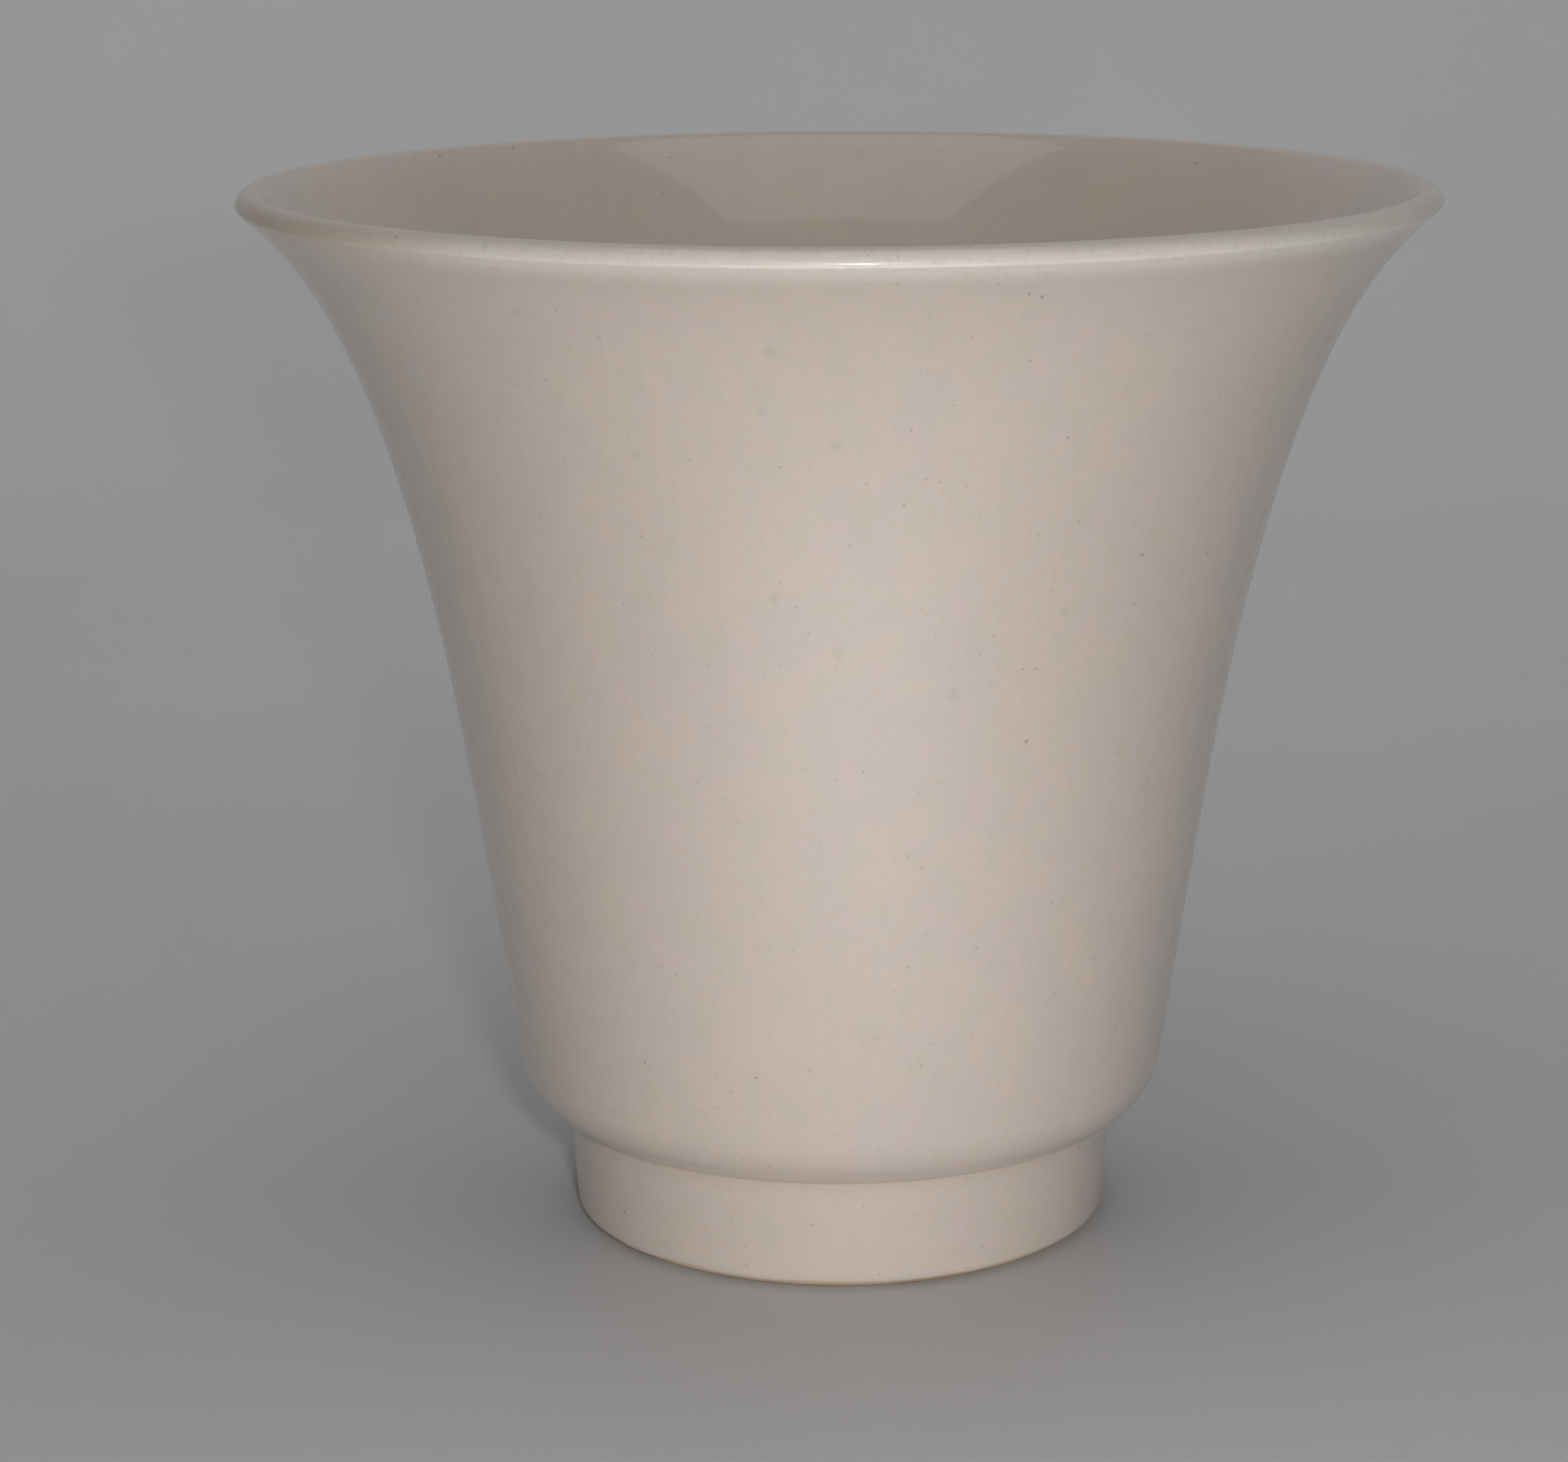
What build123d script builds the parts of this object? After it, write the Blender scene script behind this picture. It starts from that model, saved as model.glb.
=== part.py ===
from build123d import *
from math import asin, atan2, cos, degrees, radians, sin, sqrt, tan
import os

# A flared, footed ceramic vase: one cast clay body with three fired-on glaze coats.
# Millimetres, +Z up. The origin is the centre of the foot on the surface that the vase stands on.
# Every piece is a solid of revolution about Z, drawn as a half section on the XZ plane.

# ---------------------------------------------------------------- driving dimensions
# Overall sizes, over the glaze
height = 181.5
rim_radius = 101.5

# The wall: a plain taper above the shoulder, then a trumpet that opens to the lip
wall_thickness = 4.5
shoulder_radius = 56.8
taper_angle = 8.4
flare_angle = 49.0
trumpet_power = 4
roll_power = 16

# The lip: a small outer corner, then one round over the top
lip_edge_radius = 0.9
lip_turn_angle = 10.0

# The rounded shoulder and the narrow ledge under it
shoulder_round = 12.1
shoulder_end_angle = 60.0
ledge_edge_radius = 0.9

# The foot ring
foot_height = 20.3
foot_top_radius = 48.2
foot_base_radius = 46.9
foot_edge_radius = 2.6
foot_fillet_radius = 1.6
foot_ring_width = 8.0
bare_rim_height = 1.2

# The floor and the recess under it
floor_thickness = 5.5
foot_well_depth = 17.5
well_draft_angle = 3.0
well_fillet_radius = 4.0
well_edge_radius = 1.5

# The coat
glaze = 0.4

# ---------------------------------------------------------------- the wall curve
quarter_turn = radians(90)
half_turn = radians(180)

taper = radians(taper_angle)
flare = radians(flare_angle)
turn = radians(lip_turn_angle)
shoulder_end = radians(shoulder_end_angle)

clay_wall = wall_thickness - 2 * glaze

# Lip corner and lip top in clay: two arcs that bridge the wall's thickness, after a short
# straight run on the outer side that brings them level with the inner side
lip_corner = lip_edge_radius - glaze
lip_top = (clay_wall - lip_corner * (1 - cos(flare + turn))) / (1 + cos(flare + turn))
lip_run = (lip_top - lip_corner) * sin(flare + turn)

# Where the wall meets the lip, from the overall sizes
wall_end_radius = rim_radius - glaze - lip_corner * (1 - cos(flare)) - lip_run * sin(flare)
wall_end_height = (
    height
    - glaze
    - lip_top
    - (lip_corner - lip_top) * sin(turn)
    - lip_corner * sin(flare)
    - lip_run * cos(flare)
)

# The shoulder arc's centre, set on the ledge by its own small corner
shoulder_arc = shoulder_round - glaze
ledge_corner = ledge_edge_radius - glaze
ledge_height = foot_height + glaze
corner_height = ledge_height + ledge_corner
shoulder_centre = (
    shoulder_radius - shoulder_round * cos(taper),
    corner_height + (shoulder_arc - ledge_corner) * sin(shoulder_end),
)
wall_start_radius = shoulder_centre[0] + shoulder_arc * cos(taper)
wall_start_height = shoulder_centre[1] - shoulder_arc * sin(taper)

# The growth in radius is a taper, a trumpet term and a lip roll term, which add up to the rim
wall_height = wall_end_height - wall_start_height
growth = wall_end_radius - wall_start_radius
taper_growth = wall_height * tan(taper)
end_growth = wall_height * tan(flare)
roll_growth = (end_growth - taper_growth - trumpet_power * (growth - taper_growth)) / (
    roll_power - trumpet_power
)
trumpet_growth = growth - taper_growth - roll_growth

# Shares of the wall's height where the curve is pinned, closer together as it opens
wall_shares = (0, 0.2, 0.4, 0.6, 0.75, 0.87, 0.95, 1)


def wall_point(share, over=0.0):
    """A point of the wall curve, moved out from the clay's outer face by over."""
    radius = (
        wall_start_radius
        + taper_growth * share
        + trumpet_growth * share**trumpet_power
        + roll_growth * share**roll_power
    )
    slope = (
        taper_growth
        + trumpet_growth * trumpet_power * share ** (trumpet_power - 1)
        + roll_growth * roll_power * share ** (roll_power - 1)
    ) / wall_height
    reach = sqrt(1 + slope**2)
    level = wall_start_height + wall_height * share
    return (radius + over / reach, level - over * slope / reach)


def polar(centre, radius, angle):
    """The point at an angle, in radians, on a circle."""
    return (centre[0] + radius * cos(angle), centre[1] + radius * sin(angle))


def arc(centre, radius, start, end):
    """An arc of the section from one angle to another, in radians."""
    CenterArc(centre, radius, degrees(start), degrees(end - start))


# ---------------------------------------------------------------- arc centres, in clay
wall_end = wall_point(1)
run_end = (wall_end[0] + lip_run * sin(flare), wall_end[1] + lip_run * cos(flare))
lip_corner_centre = polar(run_end, lip_corner, half_turn - flare)
lip_centre = polar(lip_corner_centre, lip_corner - lip_top, turn)
inner_lip = half_turn - flare

ledge_corner_centre = polar(
    shoulder_centre, shoulder_arc - ledge_corner, -shoulder_end
)

# The foot's outer face leans in towards the base
foot_lean = atan2(foot_top_radius - foot_base_radius, foot_height)


def foot_face_radius(level):
    """The radius of the clay foot's outer face at a level."""
    return foot_base_radius + level * tan(foot_lean) - glaze / cos(foot_lean)


foot_fillet_level = ledge_height - foot_fillet_radius
foot_fillet_centre = (
    foot_face_radius(foot_fillet_level) + foot_fillet_radius / cos(foot_lean),
    foot_fillet_level,
)
foot_edge_centre = (
    foot_face_radius(foot_edge_radius) - foot_edge_radius / cos(foot_lean),
    foot_edge_radius,
)
foot_glaze_end = -asin(1 - bare_rim_height / foot_edge_radius)

# The well's face leans in towards the top, so that it leaves its mould
well_draft = radians(well_draft_angle)
well_ceiling = foot_well_depth + glaze
well_base_radius = foot_base_radius - foot_ring_width


def well_face_radius(level):
    """The radius of the clay well's face at a level."""
    return well_base_radius - level * tan(well_draft) + glaze / cos(well_draft)


well_edge_centre = (
    well_face_radius(well_edge_radius) + well_edge_radius / cos(well_draft),
    well_edge_radius,
)
well_fillet_level = well_ceiling - well_fillet_radius
well_fillet_centre = (
    well_face_radius(well_fillet_level) - well_fillet_radius / cos(well_draft),
    well_fillet_level,
)
well_glaze_end = half_turn + asin(1 - bare_rim_height / well_edge_radius)

# The floor inside, and the round that joins it to the wall
floor_level = foot_well_depth + floor_thickness
inner_start = wall_point(0, glaze - wall_thickness)
inner_round = (inner_start[1] - floor_level) / (1 - sin(taper))
inner_centre = (
    inner_start[0] - inner_round * cos(taper),
    inner_start[1] + inner_round * sin(taper),
)


# ---------------------------------------------------------------- outlines
def wall_curve(over):
    """The wall's face from the shoulder to the lip."""
    Spline(
        *[wall_point(share, over) for share in wall_shares],
        tangents=((sin(taper), cos(taper)), (sin(flare), cos(flare))),
    )


def outside_outline(over):
    """The outer face from the lip's crest down to the glaze line on the foot."""
    arc(lip_centre, lip_top + over, turn, quarter_turn)
    arc(lip_corner_centre, lip_corner + over, -flare, turn)
    Line(polar(lip_corner_centre, lip_corner + over, -flare), wall_point(1, over))
    wall_curve(over)
    arc(shoulder_centre, shoulder_arc + over, -shoulder_end, -taper)
    arc(ledge_corner_centre, ledge_corner + over, -quarter_turn, -shoulder_end)
    fillet_radius = foot_fillet_radius - over
    Line(
        polar(ledge_corner_centre, ledge_corner + over, -quarter_turn),
        polar(foot_fillet_centre, fillet_radius, quarter_turn),
    )
    arc(foot_fillet_centre, fillet_radius, quarter_turn, half_turn - foot_lean)
    Line(
        polar(foot_fillet_centre, fillet_radius, half_turn - foot_lean),
        polar(foot_edge_centre, foot_edge_radius + over, -foot_lean),
    )
    arc(foot_edge_centre, foot_edge_radius + over, foot_glaze_end, -foot_lean)


def inside_outline(under):
    """The inner face from the lip's crest down to the middle of the floor."""
    arc(lip_centre, lip_top + glaze - under, quarter_turn, inner_lip)
    wall_curve(under - wall_thickness + glaze)
    arc(inner_centre, inner_round + under, -quarter_turn, -taper)
    Line(
        (inner_centre[0], floor_level - under),
        (0, floor_level - under),
    )


def well_outline(over):
    """The underside from the glaze line on the ring's inner edge to the middle."""
    fillet_radius = well_fillet_radius - over
    arc(well_edge_centre, well_edge_radius + over, half_turn + well_draft, well_glaze_end)
    Line(
        polar(well_edge_centre, well_edge_radius + over, half_turn + well_draft),
        polar(well_fillet_centre, fillet_radius, well_draft),
    )
    arc(well_fillet_centre, fillet_radius, well_draft, quarter_turn)
    Line(
        polar(well_fillet_centre, fillet_radius, quarter_turn),
        (0, well_ceiling - over),
    )


# ---------------------------------------------------------------- clay body
with BuildPart() as clay_body:
    with BuildSketch(Plane.XZ):
        with BuildLine():
            outside_outline(0)
            arc(foot_edge_centre, foot_edge_radius, -quarter_turn, foot_glaze_end)
            Line((foot_edge_centre[0], 0), (well_edge_centre[0], 0))
            arc(well_edge_centre, well_edge_radius, well_glaze_end, half_turn + quarter_turn)
            well_outline(0)
            Line((0, well_ceiling), (0, floor_level - glaze))
            inside_outline(glaze)
        make_face()
    revolve(axis=Axis.Z)
clay_body.part.label = "clay_body"

# ---------------------------------------------------------------- outside glaze
with BuildPart() as outside_glaze:
    with BuildSketch(Plane.XZ):
        with BuildLine():
            outside_outline(0)
            outside_outline(glaze)
            Line(
                polar(lip_centre, lip_top, quarter_turn),
                polar(lip_centre, lip_top + glaze, quarter_turn),
            )
            Line(
                polar(foot_edge_centre, foot_edge_radius, foot_glaze_end),
                polar(foot_edge_centre, foot_edge_radius + glaze, foot_glaze_end),
            )
        make_face()
    revolve(axis=Axis.Z)
outside_glaze.part.label = "outside_glaze"

# ---------------------------------------------------------------- inside glaze
with BuildPart() as inside_glaze:
    with BuildSketch(Plane.XZ):
        with BuildLine():
            inside_outline(0)
            inside_outline(glaze)
            Line(
                polar(lip_centre, lip_top, quarter_turn),
                polar(lip_centre, lip_top + glaze, quarter_turn),
            )
            Line((0, floor_level - glaze), (0, floor_level))
        make_face()
    revolve(axis=Axis.Z)
inside_glaze.part.label = "inside_glaze"

# ---------------------------------------------------------------- glaze in the foot's well
with BuildPart() as foot_well_glaze:
    with BuildSketch(Plane.XZ):
        with BuildLine():
            well_outline(0)
            well_outline(glaze)
            Line(
                polar(well_edge_centre, well_edge_radius, well_glaze_end),
                polar(well_edge_centre, well_edge_radius + glaze, well_glaze_end),
            )
            Line((0, well_ceiling - glaze), (0, well_ceiling))
        make_face()
    revolve(axis=Axis.Z)
foot_well_glaze.part.label = "foot_well_glaze"

# ---------------------------------------------------------------- export
os.makedirs("parts", exist_ok=True)
export_step(clay_body.part, "parts/clay_body.step")
export_step(outside_glaze.part, "parts/outside_glaze.step")
export_step(inside_glaze.part, "parts/inside_glaze.step")
export_step(foot_well_glaze.part, "parts/foot_well_glaze.step")

for piece in (clay_body, outside_glaze, inside_glaze, foot_well_glaze):
    box = piece.part.bounding_box()
    print(piece.part.label, round(piece.part.volume), "mm3", box.min, box.max)
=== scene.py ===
# %% [markdown]
# # A flared vase on a foot ring
#
# The vase is one casting of buff clay. Liquid clay is poured into a plaster mould, left until
# a wall has set against the plaster, and poured out again. The dried casting is glazed inside
# and out, the bottom of its foot is wiped clean so that it doesn't stick to the kiln shelf,
# and it is fired.
#
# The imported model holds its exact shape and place. This notebook loads it, turns finer
# versions of the clay and its glaze, and gives them the surfaces of a fired pot.

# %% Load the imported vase
import math

import bmesh
import bpy
from mathutils import Matrix, Vector, noise


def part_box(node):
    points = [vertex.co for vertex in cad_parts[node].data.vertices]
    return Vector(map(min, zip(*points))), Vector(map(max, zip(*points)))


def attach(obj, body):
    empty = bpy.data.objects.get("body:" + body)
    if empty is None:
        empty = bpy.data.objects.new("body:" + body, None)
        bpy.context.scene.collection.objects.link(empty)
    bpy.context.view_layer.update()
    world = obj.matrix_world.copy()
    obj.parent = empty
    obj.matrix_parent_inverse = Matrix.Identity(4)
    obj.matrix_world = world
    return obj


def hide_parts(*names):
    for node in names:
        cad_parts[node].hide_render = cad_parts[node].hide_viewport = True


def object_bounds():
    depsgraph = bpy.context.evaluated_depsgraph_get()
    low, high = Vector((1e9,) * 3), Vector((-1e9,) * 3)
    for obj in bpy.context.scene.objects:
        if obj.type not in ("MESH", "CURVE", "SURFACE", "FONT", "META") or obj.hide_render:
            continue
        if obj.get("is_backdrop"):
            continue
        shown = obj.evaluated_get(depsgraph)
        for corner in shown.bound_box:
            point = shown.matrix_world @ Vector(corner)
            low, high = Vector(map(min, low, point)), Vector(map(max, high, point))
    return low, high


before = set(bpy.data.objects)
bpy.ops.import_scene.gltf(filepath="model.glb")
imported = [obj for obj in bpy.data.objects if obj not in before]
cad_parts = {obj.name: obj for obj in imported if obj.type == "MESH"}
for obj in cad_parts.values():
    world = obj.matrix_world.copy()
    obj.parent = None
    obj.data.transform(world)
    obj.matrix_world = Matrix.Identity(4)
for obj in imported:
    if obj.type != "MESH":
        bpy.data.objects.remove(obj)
cad_low, cad_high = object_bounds()
mm = 0.001
print("vase, in mm:", [round(side / mm, 2) for side in cad_high - cad_low])

# %% [markdown]
# ## The camera
#
# The eye is a little above the rim and looks down on the vase, close enough to see a slice
# of the inside. A long lens keeps the rim's ellipse calm. The camera is placed first,
# because it decides how fine each piece has to be.
#
# The camera could be aimed with a Track To constraint. A chain of plain rotations is used
# here, because it says the pitch, the turn and the small tilt one after another.

# %% Place the camera
camera_distance = 674.0 * mm
camera_height = 246.9 * mm
camera_pitch = math.radians(13.45)
camera_turn = math.radians(0.82)
camera_tilt = math.radians(-0.30)
lens_length = 90.95
sensor_width = 36.0
level_view = math.radians(90)

camera = bpy.data.objects.new("camera", bpy.data.cameras.new("camera"))
bpy.context.scene.collection.objects.link(camera)
camera.data.sensor_width = sensor_width
camera.data.lens = lens_length
camera.matrix_world = (
    Matrix.Translation((0, -camera_distance, camera_height))
    @ Matrix.Rotation(camera_turn, 4, "Z")
    @ Matrix.Rotation(level_view - camera_pitch, 4, "X")
    @ Matrix.Rotation(camera_tilt, 4, "Z")
)
bpy.context.scene.camera = camera
print("camera at", [round(x, 3) for x in camera.matrix_world.translation])

# %% [markdown]
# ## Sizes
#
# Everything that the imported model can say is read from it: the rim, the height, the
# thickness of the glaze, the floor and the recess in the foot. The other sizes are the
# ones that the clay was drawn with, such as the angles of the wall and the radii of its
# corners. They are named here once, and all three pieces share them.

# %% Read the sizes from the frame
clay_low, clay_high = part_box("clay_body")
outside_low, outside_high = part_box("outside_glaze")
inside_low, inside_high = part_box("inside_glaze")
well_low, well_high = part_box("foot_well_glaze")

rim_radius = outside_high.x
height = outside_high.z
glaze = outside_high.z - clay_high.z
crest_radius = inside_high.x
floor_level = inside_low.z + glaze
well_ceiling = well_high.z
print("glaze, in mm:", round(glaze / mm, 3), "floor:", round(floor_level / mm, 3))

# %% Name the other sizes
wall_thickness = 4.5 * mm
shoulder_radius = 56.8 * mm
taper = math.radians(8.4)
flare = math.radians(49.0)
trumpet_power = 4
roll_power = 16
lip_edge_radius = 0.9 * mm
lip_turn = math.radians(10.0)
shoulder_round = 12.1 * mm
shoulder_end = math.radians(60.0)
ledge_edge_radius = 0.9 * mm
foot_height = 20.3 * mm
foot_top_radius = 48.2 * mm
foot_base_radius = 46.9 * mm
foot_edge_radius = 2.6 * mm
foot_fillet_radius = 1.6 * mm
foot_ring_width = 8.0 * mm
bare_rim_height = 1.2 * mm
well_draft = math.radians(3.0)
well_fillet_radius = 4.0 * mm
well_edge_radius = 1.5 * mm

quarter_turn = math.radians(90)
half_turn = math.radians(180)
full_turn = math.radians(360)
print("the wall is", round(wall_thickness / glaze, 1), "times as thick as the glaze")

# %% [markdown]
# ## The section
#
# A pot like this is a section turned about an upright axis. The section could be drawn
# with a Bezier curve and a Screw modifier, but then each corner would be a guess. Here it
# is worked out from the sizes: arcs at every corner, and one smooth law for the wall.
#
# The wall's radius grows in three ways at once. A plain taper rules near the bottom, a
# fourth power opens the trumpet, and a high power turns the lip out at the very top.

# %% Work out the lip
clay_wall = wall_thickness - 2 * glaze
lip_corner = lip_edge_radius - glaze
closing = math.cos(flare + lip_turn)
lip_top = (clay_wall - lip_corner * (1 - closing)) / (1 + closing)
lip_run = (lip_top - lip_corner) * math.sin(flare + lip_turn)

wall_end_radius = (
    rim_radius - glaze - lip_corner * (1 - math.cos(flare)) - lip_run * math.sin(flare)
)
wall_end_level = (
    height
    - glaze
    - lip_top
    - (lip_corner - lip_top) * math.sin(lip_turn)
    - lip_corner * math.sin(flare)
    - lip_run * math.cos(flare)
)
print("the lip's top is an arc of radius", round((lip_top + glaze) / mm, 2), "mm")

# %% Work out the shoulder
shoulder_arc = shoulder_round - glaze
ledge_corner = ledge_edge_radius - glaze
ledge_level = foot_height + glaze
shoulder_centre = (
    shoulder_radius - shoulder_round * math.cos(taper),
    ledge_level + ledge_corner + (shoulder_arc - ledge_corner) * math.sin(shoulder_end),
)
wall_start_radius = shoulder_centre[0] + shoulder_arc * math.cos(taper)
wall_start_level = shoulder_centre[1] - shoulder_arc * math.sin(taper)
print("the wall starts", round(wall_start_level / mm, 1), "mm up")

# %% Share the wall's growth out
wall_height = wall_end_level - wall_start_level
growth = wall_end_radius - wall_start_radius
taper_growth = wall_height * math.tan(taper)
end_growth = wall_height * math.tan(flare)
roll_growth = (end_growth - taper_growth - trumpet_power * (growth - taper_growth)) / (
    roll_power - trumpet_power
)
trumpet_growth = growth - taper_growth - roll_growth
print("the wall opens by", round(growth / mm, 1), "mm over", round(wall_height / mm, 1))


# %% Points on the wall and on arcs
def wall_point(share, over):
    """A point of the clay's outer face, moved out by over."""
    radius = (
        wall_start_radius
        + taper_growth * share
        + trumpet_growth * share**trumpet_power
        + roll_growth * share**roll_power
    )
    slope = (
        taper_growth
        + trumpet_growth * trumpet_power * share ** (trumpet_power - 1)
        + roll_growth * roll_power * share ** (roll_power - 1)
    ) / wall_height
    reach = math.hypot(1, slope)
    level = wall_start_level + wall_height * share
    return (radius + over / reach, level - over * slope / reach)


wall_steps = 44


def wall_points(over):
    """The wall from the lip down to the shoulder, closer together where it flares."""
    shares = [1 - (step / wall_steps) ** 1.5 for step in range(wall_steps + 1)]
    return [wall_point(share, over) for share in shares]


def polar(centre, radius, angle):
    """The point at an angle on a circle of the section."""
    return (centre[0] + radius * math.cos(angle), centre[1] + radius * math.sin(angle))


def arc(centre, radius, start, end, steps=12):
    """Points along an arc of the section."""
    turn = (end - start) / steps
    return [polar(centre, radius, start + turn * step) for step in range(steps + 1)]


print("the wall is drawn with", len(wall_points(0)), "points")

# %% Work out the lip's centres
run_end = Vector(wall_point(1, 0)) + lip_run * Vector((math.sin(flare), math.cos(flare)))
lip_corner_centre = polar(run_end, lip_corner, half_turn - flare)
lip_centre = polar(lip_corner_centre, lip_corner - lip_top, lip_turn)
ledge_corner_centre = polar(shoulder_centre, shoulder_arc - ledge_corner, -shoulder_end)
print("lip centre off the packed crest, in mm:", round((lip_centre[0] - crest_radius) / mm, 4))

# %% Work out the foot
foot_lean = math.atan2(foot_top_radius - foot_base_radius, foot_height)


def foot_face_radius(level):
    """The radius of the clay foot's outer face."""
    return foot_base_radius + level * math.tan(foot_lean) - glaze / math.cos(foot_lean)


foot_fillet_level = ledge_level - foot_fillet_radius
foot_fillet_centre = (
    foot_face_radius(foot_fillet_level) + foot_fillet_radius / math.cos(foot_lean),
    foot_fillet_level,
)
foot_edge_centre = (
    foot_face_radius(foot_edge_radius) - foot_edge_radius / math.cos(foot_lean),
    foot_edge_radius,
)
foot_glaze_end = -math.asin(1 - bare_rim_height / foot_edge_radius)
print("the foot leans by", round(math.degrees(foot_lean), 1), "degrees")


# %% Work out the recess in the foot
def well_face_radius(level):
    """The radius of the clay face inside the foot ring."""
    base = foot_base_radius - foot_ring_width
    return base - level * math.tan(well_draft) + glaze / math.cos(well_draft)


well_edge_centre = (
    well_face_radius(well_edge_radius) + well_edge_radius / math.cos(well_draft),
    well_edge_radius,
)
well_fillet_level = well_ceiling - well_fillet_radius
well_fillet_centre = (
    well_face_radius(well_fillet_level) - well_fillet_radius / math.cos(well_draft),
    well_fillet_level,
)
well_glaze_end = half_turn + math.asin(1 - bare_rim_height / well_edge_radius)
print("the recess in the clay is", round(well_ceiling / mm, 1), "mm deep")

# %% Work out the inside
inner_start = wall_point(0, glaze - wall_thickness)
inner_round = (inner_start[1] - floor_level) / (1 - math.sin(taper))
inner_centre = (
    inner_start[0] - inner_round * math.cos(taper),
    inner_start[1] + inner_round * math.sin(taper),
)
print("the floor rounds up into the wall with a radius, in mm, of", round(inner_round / mm, 1))

# %% [markdown]
# ## Three outlines
#
# The clay and the glaze are drawn with the same outlines, so the glaze lies on the clay
# exactly. `over` is how far the line stands above the bare clay: nothing for the clay, and
# the glaze's thickness for the glaze. Where the glaze stops it rounds off in a small bead,
# as melted glass does.

# %% Thin the glaze out where it ends
end_steps = 12


def bead(start, end, centre, radius, over):
    """The last arc of an outline, where the glaze thins to nothing in a round bead."""
    points = []
    for step in range(end_steps + 1):
        share = step / end_steps
        thickness = over * math.sqrt(1 - share**6)
        points.append(polar(centre, radius + thickness, start + (end - start) * share))
    return points


print("a bead has", end_steps + 1, "points")

# %% Draw the outside
foot_face_steps = 6


def foot_face_line(over):
    """The straight face of the foot, in a few steps so that its quads stay squarish."""
    top = Vector(polar(foot_fillet_centre, foot_fillet_radius - over, half_turn - foot_lean))
    bottom = Vector(polar(foot_edge_centre, foot_edge_radius + over, -foot_lean))
    shares = [step / foot_face_steps for step in range(1, foot_face_steps)]
    return [tuple(top.lerp(bottom, share)) for share in shares]


def outside_line(over):
    """From the crest of the lip down to where the glaze ends on the foot."""
    fillet = foot_fillet_radius - over
    return (
        arc(lip_centre, lip_top + over, quarter_turn, lip_turn, 14)
        + arc(lip_corner_centre, lip_corner + over, lip_turn, -flare, 10)
        + wall_points(over)
        + arc(shoulder_centre, shoulder_arc + over, -taper, -shoulder_end, 14)
        + arc(ledge_corner_centre, ledge_corner + over, -shoulder_end, -quarter_turn, 6)
        + arc(foot_fillet_centre, fillet, quarter_turn, half_turn - foot_lean, 8)
        + foot_face_line(over)
        + bead(-foot_lean, foot_glaze_end, foot_edge_centre, foot_edge_radius, over)
    )


print("the outside line has", len(outside_line(0)), "points")

# %% Draw the inside
floor_steps = 8


def floor_line(start_radius, level):
    """A flat disc's radius, from its edge to the axis."""
    shares = [step / floor_steps for step in range(1, floor_steps + 1)]
    return [(start_radius * (1 - share), level) for share in shares]


def inside_line(under):
    """From the crest of the lip down the inside and across to the middle of the floor."""
    return (
        arc(lip_centre, lip_top + glaze - under, quarter_turn, half_turn - flare, 12)
        + wall_points(under - wall_thickness + glaze)
        + arc(inner_centre, inner_round + under, -taper, -quarter_turn, 14)
        + floor_line(inner_centre[0], floor_level - under)
    )


print("the inside line has", len(inside_line(0)), "points")


# %% Draw the underside
def well_line(over):
    """From where the glaze ends on the ring's inner edge, up and across to the axis."""
    edge = bead(
        half_turn + well_draft, well_glaze_end, well_edge_centre, well_edge_radius, over
    )
    fillet = arc(well_fillet_centre, well_fillet_radius - over, well_draft, quarter_turn, 14)
    return edge[::-1] + fillet + floor_line(well_fillet_centre[0], well_ceiling - over)


def resting_line():
    """The bare bottom of the foot ring, from the outer glaze line to the inner one."""
    outer = arc(foot_edge_centre, foot_edge_radius, foot_glaze_end, -quarter_turn, 14)
    inner = arc(well_edge_centre, well_edge_radius, half_turn + quarter_turn, well_glaze_end, 12)
    return outer + inner


print("the recess's line has", len(well_line(0)), "points")

# %% [markdown]
# ## Turning a piece
#
# A potter's wheel turns clay past a still rib, and the spin operator does the same with a
# section. The section is a chain of edges. Spin sweeps it round the axis and merges its
# last ring into the first. The points on the axis become one point each, and the normals
# are recalculated, because a spin can come out inside out.
#
# A cast pot isn't perfectly round. Its wall wanders by a tenth of a millimetre as it dries,
# and that is what gives its reflections their soft wobble. The wobble only goes inwards, so
# the vase stays inside its packed size, and it depends on place alone, so the clay and
# the glaze wobble together.

# %% The spin
spin_steps = 180
merge_distance = 0.002 * mm


def turned(name, line):
    """A closed piece turned from a section that starts and ends on the axis."""
    shape = bmesh.new()
    chain = [shape.verts.new((radius, 0, level)) for radius, level in line]
    edges = [shape.edges.new(pair) for pair in zip(chain, chain[1:])]
    bmesh.ops.spin(
        shape,
        geom=chain + edges,
        cent=(0, 0, 0),
        axis=(0, 0, 1),
        angle=full_turn,
        steps=spin_steps,
        use_merge=True,
        use_duplicate=False,
    )
    bmesh.ops.remove_doubles(shape, verts=shape.verts, dist=merge_distance)
    bmesh.ops.recalc_face_normals(shape, faces=shape.faces)
    for face in shape.faces:
        face.smooth = True
    open_edges = sum(edge.is_boundary for edge in shape.edges)
    print(name, "has", len(shape.faces), "faces and", open_edges, "open edges")
    return shape


# %% The wobble of a hand-finished casting
wobble_depth = 0.22 * mm
wobble_size = 62 * mm


def wobble(shape):
    """Draws each point in towards the axis by a depth that drifts slowly over the pot."""
    for point in shape.verts:
        radius = point.co.xy.length
        if radius > merge_distance:
            drift = 0.5 + 0.5 * noise.noise(point.co / wobble_size)
            point.co.xy *= 1 - wobble_depth * drift / radius


print("the wall wanders by up to", round(wobble_depth / mm, 2), "mm")

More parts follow.
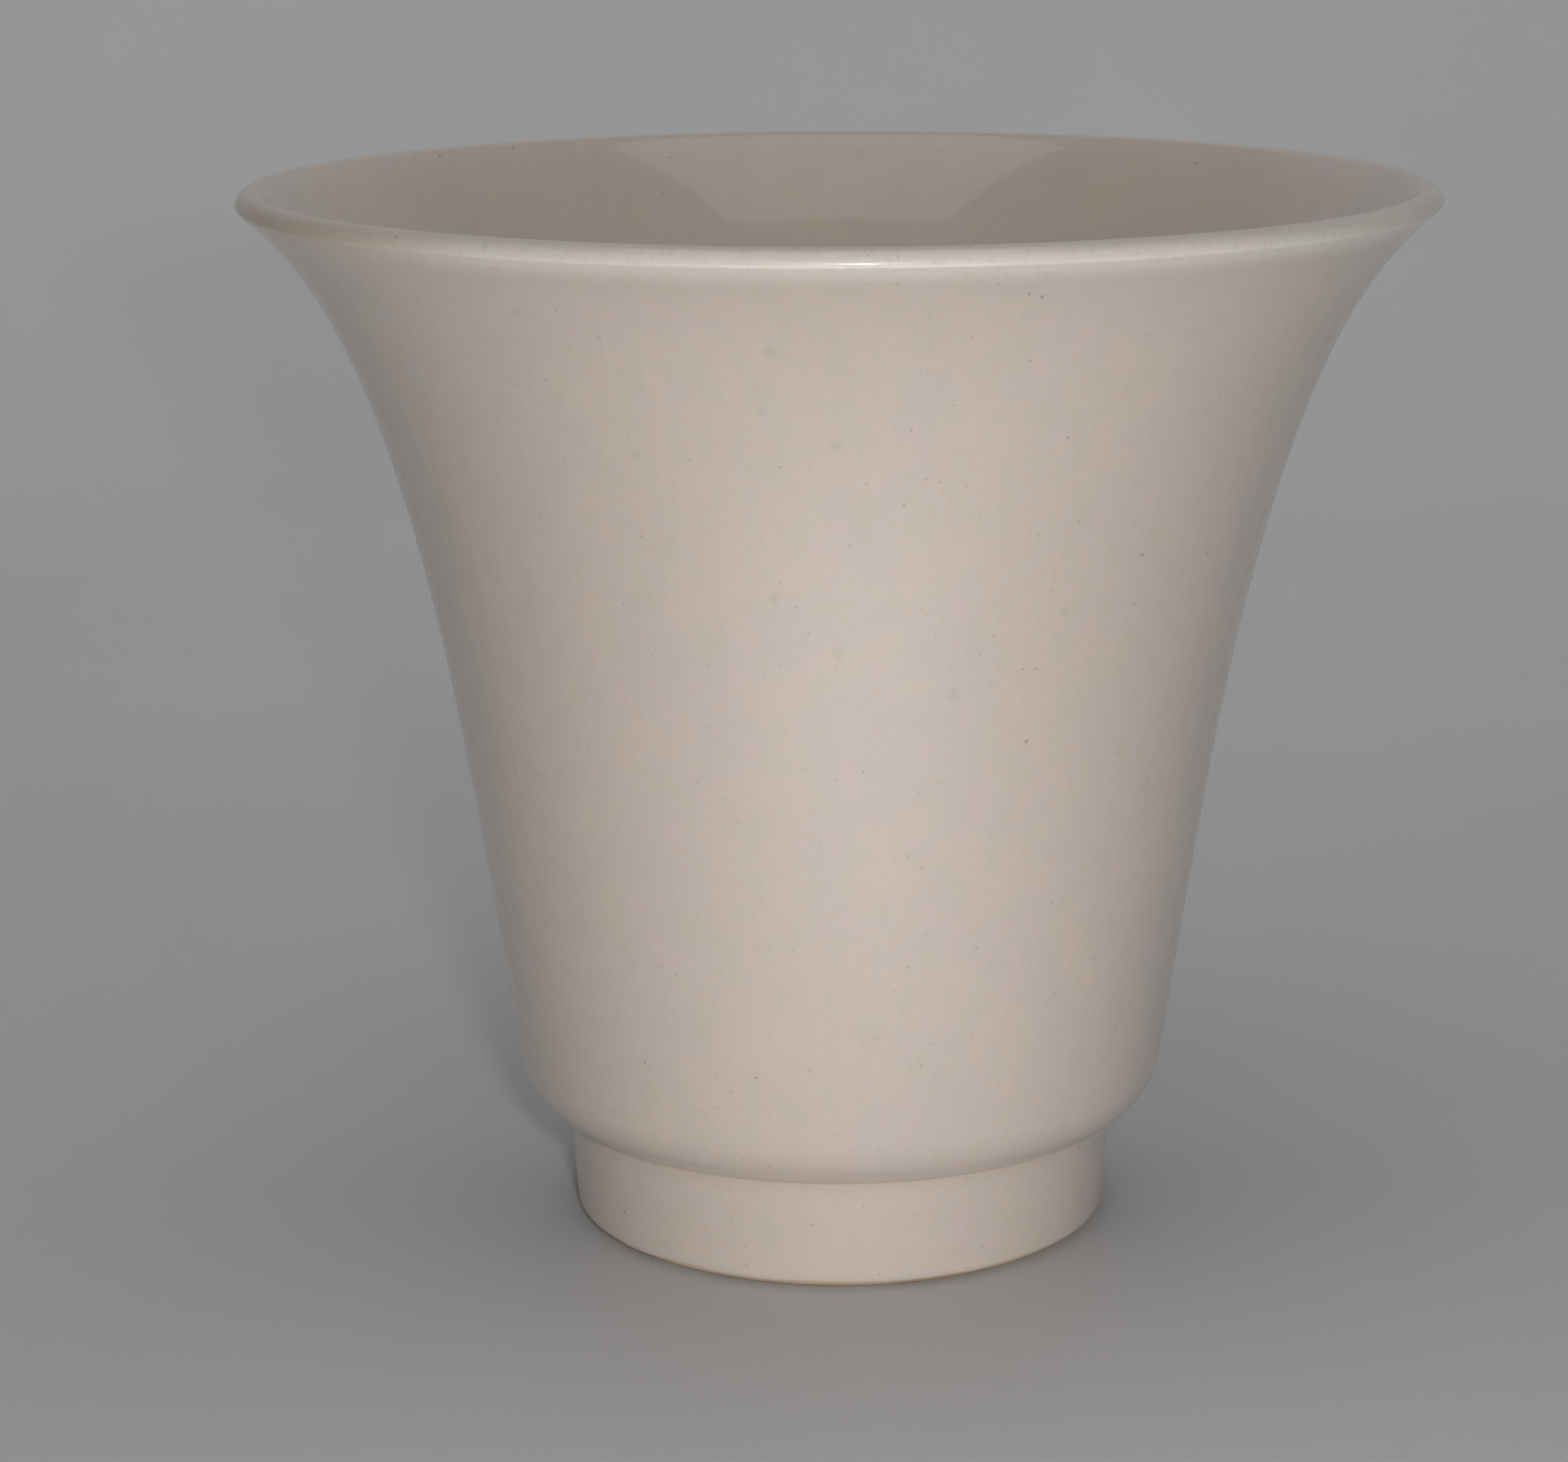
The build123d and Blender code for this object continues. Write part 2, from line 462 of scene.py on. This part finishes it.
# %% [markdown]
# The glaze line on the foot was wiped by hand with a wet sponge, so it wanders up and down.
# The bead's points are turned about the centre of the foot's round edge, which keeps them
# on the clay.

# %% The wandering glaze line
line_wander = 0.45
wander_lumps = 5.0
past_the_end = 1.01


def wander(shape, centre, start, end):
    """Slides a bead along its round edge, further at some places round the foot."""
    for point in shape.verts:
        radius = point.co.xy.length
        along = math.atan2(point.co.z - centre[1], radius - centre[0]) % full_turn
        share = (along - start) / (end - start)
        near = math.dist((radius, point.co.z), centre) < foot_edge_radius + 2 * glaze
        if not (near and 0 < share <= past_the_end):
            continue
        round_foot = point.co.xy.normalized() * wander_lumps
        slide = noise.noise((round_foot.x, round_foot.y, 0.5))
        angle = start + (along - start) * (1 + line_wander * slide * share)
        reach = math.dist((radius, point.co.z), centre)
        moved = polar(centre, reach, angle)
        point.co.xy *= moved[0] / radius
        point.co.z = moved[1]


print("the line slides by up to", round(100 * line_wander), "per cent of the bead's arc")

# %% [markdown]
# ## Where the glaze is thin, and where it pools
#
# Melted glaze draws back from sharp edges and gathers in hollows. It is thin on the lip,
# on the ledge's corner and on the foot's edge, and the warm clay shows through there. It is
# thicker in the groove above the foot and round the floor. A shader can't know that, so
# each point of the mesh is told: 0 is thin, 1 is pooled and a half is an even coat. Faces that
# turn towards the axis, the inside of the vase, are pushed towards pooled as painted shade.

# %% Write the glaze's depth, and the painted shade inside the vase, on each point
even_coat = 0.5
# painted shade: faces turned toward the axis, the inside of the vase, get a deeper tone
painted_inside_shade = 0.16
depth_name = "glaze_depth_and_inside_shade"
ring_fade = 1.6

# Each ring of the section has a centre, a reach and a strength.
thin_rings = (
    (lip_corner_centre, 2.4 * mm, 0.45),
    (lip_centre, 3.4 * mm, 0.25),
    (ledge_corner_centre, 1.9 * mm, 0.34),
    (foot_edge_centre, 3.0 * mm, 0.14),
)
pool_rings = (
    (foot_fillet_centre, 2.2 * mm, 0.30),
    (inner_centre, inner_round + 2 * mm, 0.20),
    (well_fillet_centre, well_fillet_radius + 1.5 * mm, 0.35),
)


def nearness(radius, level, ring):
    """How much a ring of the section affects a point: its strength at the ring, fading out."""
    centre, reach, strength = ring
    share = max(0.0, 1 - math.dist((radius, level), centre) / (ring_fade * reach))
    return strength * share * share * (3 - 2 * share)


def write_depth(shape):
    """Even coat, less what has drawn back, plus what has pooled, plus painted shade inside the
    vase.
    """
    layer = shape.verts.layers.float.new(depth_name)
    shape.normal_update()
    for point in shape.verts:
        radius, level = point.co.xy.length, point.co.z
        faces_axis = max(0.0, -point.normal.xy.dot(point.co.xy.normalized()))
        thin = sum(nearness(radius, level, ring) for ring in thin_rings)
        pooled = sum(nearness(radius, level, ring) for ring in pool_rings)
        # painted shade inside the vase is added to the glaze's depth here
        coat = even_coat - thin + pooled + painted_inside_shade * faces_axis
        point[layer] = max(0.0, min(1.0, coat))


print("the glaze thins at", len(thin_rings), "rings and pools at", len(pool_rings))

# %% Keep a shape as a piece of the vase
def keep(shape, name, slot, *stands_for):
    """Makes the object, rides it on the vase's one body and hides what it stands for."""
    mesh = bpy.data.meshes.new(name)
    shape.to_mesh(mesh)
    shape.free()
    piece = bpy.data.objects.new(name, mesh)
    bpy.context.scene.collection.objects.link(piece)
    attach(piece, "root")
    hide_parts(*stands_for)
    print(name, "stands for", ", ".join(stands_for))
    return piece


# %% [markdown]
# ## The clay casting
#
# This is the whole pot in bare clay: floor, wall, lip, shoulder and foot ring in one piece.
# Nearly all of it lies under the glaze. It could be left out, but then the foot's bare rim
# and the edge of the glaze would have nothing to sit on.

# %% Turn the clay
clay_line = inside_line(glaze)[::-1] + outside_line(0) + resting_line() + well_line(0)
clay_shape = turned("clay_casting", clay_line)
wobble(clay_shape)
clay_casting = keep(clay_shape, "clay_casting", "fired_clay", "clay_body")

# %% [markdown]
# ## The glaze coat
#
# Inside and outside are glazed one after the other, but the two coats melt into one over
# the lip. One piece stands for both, so no seam shows at the crest. Its section goes out
# along the glaze's face and comes back along the clay, so it is a closed skin.

# %% Turn the glaze coat
coat_face = inside_line(0)[::-1] + outside_line(glaze)
coat_back = inside_line(glaze)[::-1] + outside_line(0)
coat_shape = turned("glaze_coat", coat_face + coat_back[::-1])
write_depth(coat_shape)
wander(coat_shape, foot_edge_centre, full_turn - foot_lean, full_turn + foot_glaze_end)
wobble(coat_shape)
glaze_coat = keep(coat_shape, "glaze_coat", "satin_glaze", "outside_glaze", "inside_glaze")

# %% [markdown]
# ## The glaze under the foot
#
# The recess inside the foot ring is glazed too. It is a separate coat, because the wiped
# ring lies between it and the rest.

# %% Turn the glaze in the recess
recess_shape = turned("recess_glaze", well_line(glaze)[::-1] + well_line(0))
write_depth(recess_shape)
wander(recess_shape, well_edge_centre, half_turn + well_draft, well_glaze_end)
wobble(recess_shape)
recess_glaze = keep(recess_shape, "recess_glaze", "satin_glaze", "foot_well_glaze")

# %% [markdown]
# ## Helpers for materials
#
# Each finish is a small tree of nodes. Writing the trees in code keeps every number in
# sight. Colours are given as they look on a screen and turned into the linear values that
# the shader wants.


# %% Colours as seen
def linear(red, green, blue):
    """A colour from 0 to 255, as seen on a screen, in the shader's linear values."""
    shares = [value / 255 for value in (red, green, blue)]
    return tuple(
        s / 12.92 if s <= 0.04045 else ((s + 0.055) / 1.055) ** 2.4 for s in shares
    ) + (1.0,)


print("a mid grey of 188 is", round(linear(188, 188, 188)[0], 2), "in linear values")


# %% Short names for adding nodes
def fill(tree, socket, value):
    """Links a socket to another one's output, or sets it to a plain value."""
    if isinstance(value, bpy.types.NodeSocket):
        tree.links.new(value, socket)
    else:
        socket.default_value = value


def add(tree, kind, settings=None, **inputs):
    """Adds a node, sets its options, and fills its inputs by name."""
    node = tree.nodes.new(kind)
    for key, value in (settings or {}).items():
        setattr(node, key, value)
    for key, value in inputs.items():
        fill(tree, node.inputs[key.replace("_", " ")], value)
    return node


def calculate(tree, operation, *values):
    """A Math node, whose inputs share one name and so are filled in order."""
    node = add(tree, "ShaderNodeMath", {"operation": operation})
    for socket, value in zip(node.inputs, values):
        fill(tree, socket, value)
    return node.outputs["Value"]


def share_of(tree, value, low, high, strength=1.0):
    """How far a value has come from low to high, between 0 and 1, times a strength."""
    ranged = add(tree, "ShaderNodeMapRange", Value=value, From_Min=low, From_Max=high)
    return calculate(tree, "MULTIPLY", ranged.outputs["Result"], strength)


print("Math nodes are filled in order, and other nodes by name")


# %% Colours laid over one another
def blend_colours(tree, share, first, second):
    """A Mix node for colours: first where share is 0, and second where it is 1."""
    node = tree.nodes.new("ShaderNodeMix")
    node.data_type = "RGBA"
    colour_inputs = [socket for socket in node.inputs if socket.type == "RGBA"]
    for socket, value in zip([node.inputs[0], *colour_inputs], (share, first, second)):
        fill(tree, socket, value)
    return next(socket for socket in node.outputs if socket.type == "RGBA")


def lay_over(tree, colour, *coats):
    """Lays coats over a colour one after another: each is a share and a tint."""
    for share, tint in coats:
        colour = blend_colours(tree, share, colour, tint)
    return colour


print("the coat given last is the one on top")


# %% Node groups
def new_group(name, inputs, outputs):
    """An empty node group with named inputs and outputs: (group, its inputs, its outputs)."""
    group = bpy.data.node_groups.new(name, "ShaderNodeTree")
    for label, kind, value in inputs:
        socket = group.interface.new_socket(label, in_out="INPUT", socket_type=kind)
        if value is not None:
            socket.default_value = value
    for label, kind in outputs:
        group.interface.new_socket(label, in_out="OUTPUT", socket_type=kind)
    start = group.nodes.new("NodeGroupInput")
    end = group.nodes.new("NodeGroupOutput")
    return group, start.outputs, end.inputs


def place(tree, group, **inputs):
    """Places a node group in a material."""
    return add(tree, "ShaderNodeGroup", {"node_tree": group}, **inputs)


print("node groups before ours:", len(bpy.data.node_groups))

# %% [markdown]
# ## Iron specks
#
# Buff clay holds grains of iron. In the kiln they melt into the glaze and bleed into small
# brown dots. A Voronoi texture scatters one point in each cell of a 3-D grid, and a dot is
# drawn where the surface passes close to a point. Because the surface cuts each dot at a
# different depth, the dots differ in size by themselves. The group is used in the glaze
# and in the bare clay.

# %% Build the group for the specks
FLOAT, VECTOR = "NodeSocketFloat", "NodeSocketVector"

specks, given, made = new_group(
    "iron_specks",
    [("Vector", VECTOR, None), ("Cells per metre", FLOAT, 160.0), ("Dot size", FLOAT, 0.08)],
    [("Mask", FLOAT), ("Redness", FLOAT)],
)
cells = add(
    specks,
    "ShaderNodeTexVoronoi",
    {"voronoi_dimensions": "3D", "feature": "F1"},
    Vector=given["Vector"],
    Scale=given["Cells per metre"],
)
ragged = add(
    specks, "ShaderNodeTexNoise", Vector=given["Vector"], Scale=2400.0, Detail=1.0
)
chance = add(specks, "ShaderNodeSeparateColor", Color=cells.outputs["Color"])
own_size = calculate(specks, "MULTIPLY", chance.outputs["Red"], given["Dot size"])
edge = calculate(specks, "MULTIPLY", own_size, 0.35)
wavy = calculate(specks, "MULTIPLY_ADD", ragged.outputs["Fac"], 0.6, 0.7)
distance = calculate(specks, "MULTIPLY", cells.outputs["Distance"], wavy)
dot = add(
    specks,
    "ShaderNodeMapRange",
    {"interpolation_type": "SMOOTHSTEP"},
    Value=distance,
    From_Min=own_size,
    From_Max=edge,
)
specks.links.new(dot.outputs["Result"], made["Mask"])
specks.links.new(chance.outputs["Green"], made["Redness"])
print(specks.name, "has", len(specks.nodes), "nodes")

# %% [markdown]
# ## Mottle
#
# A matt-white glaze is never one tone. Broad clouds come from its thickness, and a fine
# grain from the crystals that grow as it cools. Two noise textures at very different sizes
# give both, and the group hands them out as plain values between 0 and 1. The clouds run
# down the wall a little, so their heights are multiplied by less than 1.

# %% Build the group for the mottle
mottle, given, made = new_group(
    "kiln_mottle",
    [
        ("Vector", VECTOR, None),
        ("Clouds per metre", FLOAT, 30.0),
        ("Grains per metre", FLOAT, 700.0),
    ],
    [("Clouds", FLOAT), ("Grain", FLOAT)],
)
run_down = (1.0, 1.0, 0.55)
stretched = mottle.nodes.new("ShaderNodeVectorMath")
stretched.operation = "MULTIPLY"
mottle.links.new(given["Vector"], stretched.inputs[0])
stretched.inputs[1].default_value = run_down
clouds = add(
    mottle,
    "ShaderNodeTexNoise",
    Vector=stretched.outputs["Vector"],
    Scale=given["Clouds per metre"],
    Detail=3.0,
    Roughness=0.55,
)
grains = add(
    mottle,
    "ShaderNodeTexNoise",
    Vector=given["Vector"],
    Scale=given["Grains per metre"],
    Detail=2.0,
    Roughness=0.6,
)
for noise_node, label in ((clouds, "Clouds"), (grains, "Grain")):
    spread = add(
        mottle,
        "ShaderNodeMapRange",
        Value=noise_node.outputs["Fac"],
        From_Min=0.32,
        From_Max=0.68,
    )
    mottle.links.new(spread.outputs["Result"], made[label])
print(mottle.name, "has", len(mottle.nodes), "nodes")

# %% [markdown]
# ## The satin glaze
#
# The glaze is an oatmeal white over buff clay. Its colour is built up as the kiln does it:
# an even tone, broad clouds that lean to lilac-grey or cream, small blotches of faint green
# and pink, and the iron specks on top. Pooled glaze is a little deeper, and the same deeper
# tone is painted over the inside wall as shade.
#
# Where the coat is thin the clay tints it tan. On the lip that happens on the left side only,
# towards -x. The rest of the lip is painted a brighter cream, a painted highlight where the
# lip's round top catches the light. The foot's edge and the ledge's corner are tinted all the
# way round.

# %% Choose the glaze's colours
oatmeal = linear(206, 193, 183)
lilac_grey = linear(199, 191, 190)
cream = linear(211, 196, 180)
faint_green = linear(197, 189, 174)
faint_pink = linear(213, 193, 184)
thin_tan = linear(198, 172, 138)
# pooled glaze, and painted shade over the inside wall
pooled_and_inside_shade_tan = linear(190, 173, 152)
# painted highlight: the brighter cream painted on the lip's round top, where it catches the
# light
painted_lip_highlight = linear(230, 223, 212)
iron_brown = linear(112, 92, 74)
iron_red = linear(140, 78, 56)
stain_grey = linear(166, 157, 142)
print("the oatmeal's linear values:", [round(value, 2) for value in oatmeal[:3]])

# %% Start the glaze's tree
satin = bpy.data.materials.new("satin_oatmeal_glaze")
satin.use_nodes = True
tree = satin.node_tree
shader = tree.nodes["Principled BSDF"]
place_on_pot = add(tree, "ShaderNodeTexCoord").outputs["Object"]
spot = add(tree, "ShaderNodeSeparateXYZ", Vector=place_on_pot).outputs
depth = add(tree, "ShaderNodeAttribute", {"attribute_name": depth_name}).outputs["Fac"]
tone = place(tree, mottle, Vector=place_on_pot, Clouds_per_metre=26.0, Grains_per_metre=900.0)
patches = place(tree, mottle, Vector=place_on_pot, Clouds_per_metre=230.0, Grains_per_metre=75.0)
print(satin.name, "reads", depth_name, "and two sizes of mottle")

# %% Lay the even tone, the clouds and the blotches
clouds, blotches = tone.outputs["Clouds"], patches.outputs["Clouds"]
colour = lay_over(
    tree,
    oatmeal,
    (share_of(tree, clouds, 0.45, 1.0, 0.4), lilac_grey),
    (share_of(tree, patches.outputs["Grain"], 0.4, 1.0, 0.5), cream),
    (share_of(tree, blotches, 0.55, 1.0, 0.30), faint_green),
    (share_of(tree, blotches, 0.40, 0.0, 0.30), faint_pink),
)
print("tones so far:", len(tree.nodes), "nodes")

# %% Tint the thin and the pooled places, and paint the lip's highlight and the inside's shade
# The thin lip is tinted tan on its left side only, towards -x, fading in from -55 to -98 mm.
left_tint_starts = -55 * mm
left_tint_full = -98 * mm
left_side_share = share_of(tree, spot["X"], left_tint_starts, left_tint_full)
low_edges = share_of(tree, spot["Z"], 1.5 * foot_height, 1.1 * foot_height)
tan_places = calculate(tree, "MAXIMUM", left_side_share, low_edges)
thinness = share_of(tree, depth, 0.46, 0.0)
tan_share = calculate(tree, "MULTIPLY", thinness, tan_places)
# painted highlight: the thin lip away from the left side gets the painted bright cream
painted_highlight_share = calculate(tree, "SUBTRACT", thinness, tan_share)
colour = lay_over(
    tree,
    colour,
    # painted highlight on the lip's top
    (calculate(tree, "MULTIPLY", painted_highlight_share, 0.85), painted_lip_highlight),
    (calculate(tree, "MULTIPLY", tan_share, 0.6), thin_tan),
    # pooled glaze in the hollows, and painted shade over the inside wall
    (share_of(tree, depth, 0.52, 1.0, 0.8), pooled_and_inside_shade_tan),
    (share_of(tree, tone.outputs["Grain"], 0.5, 1.0, 0.16), thin_tan),
)
print("tints added:", len(tree.nodes), "nodes")

# %% Scatter the specks and stains
large = place(tree, specks, Vector=place_on_pot, Cells_per_metre=165.0, Dot_size=0.085)
small = place(tree, specks, Vector=place_on_pot, Cells_per_metre=450.0, Dot_size=0.16)
stains = place(tree, specks, Vector=place_on_pot, Cells_per_metre=105.0, Dot_size=0.17)
rust = calculate(tree, "GREATER_THAN", large.outputs["Redness"], 0.88)
speck_colour = blend_colours(tree, rust, iron_brown, iron_red)
colour = lay_over(
    tree,
    colour,
    (calculate(tree, "MULTIPLY", stains.outputs["Mask"], 0.22), stain_grey),
    (calculate(tree, "MULTIPLY", small.outputs["Mask"], 0.34), iron_brown),
    (calculate(tree, "MULTIPLY", large.outputs["Mask"], 0.55), speck_colour),
)
tree.links.new(colour, shader.inputs["Base Color"])
print("specks added:", len(tree.nodes), "nodes")

# %% [markdown]
# ## The glaze's gloss
#
# The gloss has two layers. The body of the glaze is satin, and a thin clear skin on top
# gives the small sharp light along the lip. The bumps are only a few thousandths of a
# millimetre high, like the skin of an orange, and the specks sink in by about as much.

# %% Give the glaze its gloss
gloss = calculate(tree, "MULTIPLY_ADD", patches.outputs["Clouds"], 0.07, 0.30)
tree.links.new(gloss, shader.inputs["Roughness"])
shader.inputs["IOR"].default_value = 1.5
shader.inputs["Coat Weight"].default_value = 0.7
shader.inputs["Coat Roughness"].default_value = 0.06

peel = add(tree, "ShaderNodeTexNoise", Vector=place_on_pot, Scale=420.0, Detail=2.0)
sunk = calculate(tree, "MULTIPLY", large.outputs["Mask"], -0.5)
skin_height = calculate(tree, "ADD", peel.outputs["Fac"], sunk)
skin = add(tree, "ShaderNodeBump", Height=skin_height, Strength=0.35, Distance=0.02 * mm)
tree.links.new(skin.outputs["Normal"], shader.inputs["Normal"])
for piece in (glaze_coat, recess_glaze):
    piece.data.materials.append(satin)
    print(piece.name, "is glazed with", satin.name)

# %% [markdown]
# ## The bare clay
#
# Where the glaze was wiped off, the clay is a dry buff body with a fine tooth. The flat
# ring that the vase stands on has been slid along shelves, so it has greyed a little.

# %% Build the clay
buff = linear(214, 194, 164)
toasted = linear(196, 168, 132)
shelf_grey = linear(150, 138, 122)

bare = bpy.data.materials.new("bare_buff_clay")
bare.use_nodes = True
tree = bare.node_tree
shader = tree.nodes["Principled BSDF"]
place_on_pot = add(tree, "ShaderNodeTexCoord").outputs["Object"]
body = place(tree, mottle, Vector=place_on_pot, Clouds_per_metre=60.0, Grains_per_metre=1800.0)
iron = place(tree, specks, Vector=place_on_pot, Cells_per_metre=420.0, Dot_size=0.12)
level = add(tree, "ShaderNodeSeparateXYZ", Vector=place_on_pot).outputs["Z"]
worn = share_of(tree, level, 0.35 * mm, 0.0)

scuffs = calculate(tree, "MULTIPLY", worn, body.outputs["Grain"])
colour = lay_over(
    tree,
    buff,
    (body.outputs["Clouds"], toasted),
    (calculate(tree, "MULTIPLY", scuffs, 0.7), shelf_grey),
    (iron.outputs["Mask"], iron_brown),
)
tree.links.new(colour, shader.inputs["Base Color"])
dryness = calculate(tree, "MULTIPLY_ADD", body.outputs["Grain"], 0.12, 0.78)
tree.links.new(dryness, shader.inputs["Roughness"])
tooth = add(
    tree, "ShaderNodeBump", Height=body.outputs["Grain"], Strength=0.6, Distance=0.06 * mm
)
tree.links.new(tooth.outputs["Normal"], shader.inputs["Normal"])
clay_casting.data.materials.append(bare)
print(clay_casting.name, "is", bare.name)

# %% [markdown]
# ## The floor and the backdrop
#
# The vase stands on a pale floor that curves up into a wall all the way round, like the
# cove of a studio, so that no horizon cuts the view from any side. Its section is the
# floor's radius, an arc and an upright line, and it is turned with the same spin as the
# vase. It isn't part of the object, so it is marked as staging.

# %% Turn the cove
cove_radius = 1.10
cove_curve = 0.45
cove_height = 2.4
cove_steps = 24

curve_centre = (cove_radius - cove_curve, cove_curve)
curve = arc(curve_centre, cove_curve, -quarter_turn, 0, cove_steps)
cove_shape = turned("studio_cove", [(0, 0), *curve, (cove_radius, cove_height)])
cove_mesh = bpy.data.meshes.new("studio_cove")
cove_shape.to_mesh(cove_mesh)
cove_shape.free()
studio_cove = bpy.data.objects.new("studio_cove", cove_mesh)
bpy.context.scene.collection.objects.link(studio_cove)
studio_cove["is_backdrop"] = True

# %% Paint the cove
paint = bpy.data.materials.new("pale_paint")
paint.use_nodes = True
tree = paint.node_tree
shader = tree.nodes["Principled BSDF"]
place_on_cove = add(tree, "ShaderNodeTexCoord").outputs["Object"]
roller = place(tree, mottle, Vector=place_on_cove, Clouds_per_metre=3.0, Grains_per_metre=900.0)
pale = blend_colours(
    tree, roller.outputs["Clouds"], linear(196, 196, 197), linear(201, 201, 201)
)
tree.links.new(pale, shader.inputs["Base Color"])
shader.inputs["Roughness"].default_value = 0.8
shader.inputs["Specular IOR Level"].default_value = 0.25
cove_mesh.materials.append(paint)
print(studio_cove.name, "is painted with", paint.name)

# %% [markdown]
# ## The light
#
# The main light is a small softbox just above and to the right of the camera. It lights
# the front squarely, lets the sides fall away, and draws the short bright line on the lip.
# A big soft light overhead whitens the lip and the floor. A low strip stands in for the
# light that a bright table throws back at the foot. One light behind keeps the back of the
# vase from going black, and one only washes the backdrop. The lamps themselves are hidden
# from the camera, so that a view from the back doesn't look into them, and the gloss
# mirrors only the lights in front and above, so that no lamp behind shows inside the rim.


# %% Make a softbox
def softbox(name, at, aim, size, power, shines=True):
    """A rectangular area light that faces a point; shines says if gloss mirrors it."""
    lamp = bpy.data.lights.new(name, "AREA")
    lamp.shape = "RECTANGLE"
    lamp.size, lamp.size_y = size
    lamp.energy = power
    holder = bpy.data.objects.new(name, lamp)
    bpy.context.scene.collection.objects.link(holder)
    holder.location = at
    towards = Vector(aim) - Vector(at)
    holder.visible_camera = False
    holder.visible_glossy = shines
    holder.rotation_mode = "QUATERNION"
    holder.rotation_quaternion = towards.to_track_quat("-Z", "Y")
    print(name, "hangs", round(towards.length, 2), "m from what it lights")


# %% Hang the lights
middle = (0, 0, height * 0.5)
foot = (0, 0, 0.008)
wall_behind = (0, cove_radius, 0.25)

softbox("key_softbox", at=(0.042, -0.674, 0.272), aim=middle, size=(0.045, 0.03), power=1.42)
softbox("overhead_softbox", at=(0, -0.3, 1.9), aim=middle, size=(1.4, 1.4), power=4.8)
softbox("low_reflector", at=(0.02, -0.30, 0.014), aim=foot, size=(0.26, 0.02), power=0.24)
softbox(
    "back_softbox", at=(0, 0.80, 0.95), aim=middle, size=(0.8, 0.5), power=0.75, shines=False
)
softbox(
    "backdrop_softbox",
    at=(0, 0.45, 1.0),
    aim=wall_behind,
    size=(0.9, 0.3),
    power=2.3,
    shines=False,
)

# %% Dim the air of the studio
world = bpy.data.worlds.new("studio_air")
world.use_nodes = True
air = world.node_tree.nodes["Background"].inputs
air["Color"].default_value = linear(205, 205, 210)
air["Strength"].default_value = 0.01
bpy.context.scene.world = world
bpy.context.scene.view_settings.view_transform = "Standard"
print("the air gives", round(air["Strength"].default_value, 3), "of its own light")

# %% [markdown]
# ## Check and finish
#
# The turned pieces have to stay within the imported model. For each axis, the script prints how
# far the pieces' box has grown past the imported model's high end.

# %% Compare the boxes and finish
seen_low, seen_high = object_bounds()
for axis, name in enumerate("XYZ"):
    growth = round((seen_high[axis] - cad_high[axis]) / mm, 3)
    print(name, "grew by", growth, "mm at its high end")
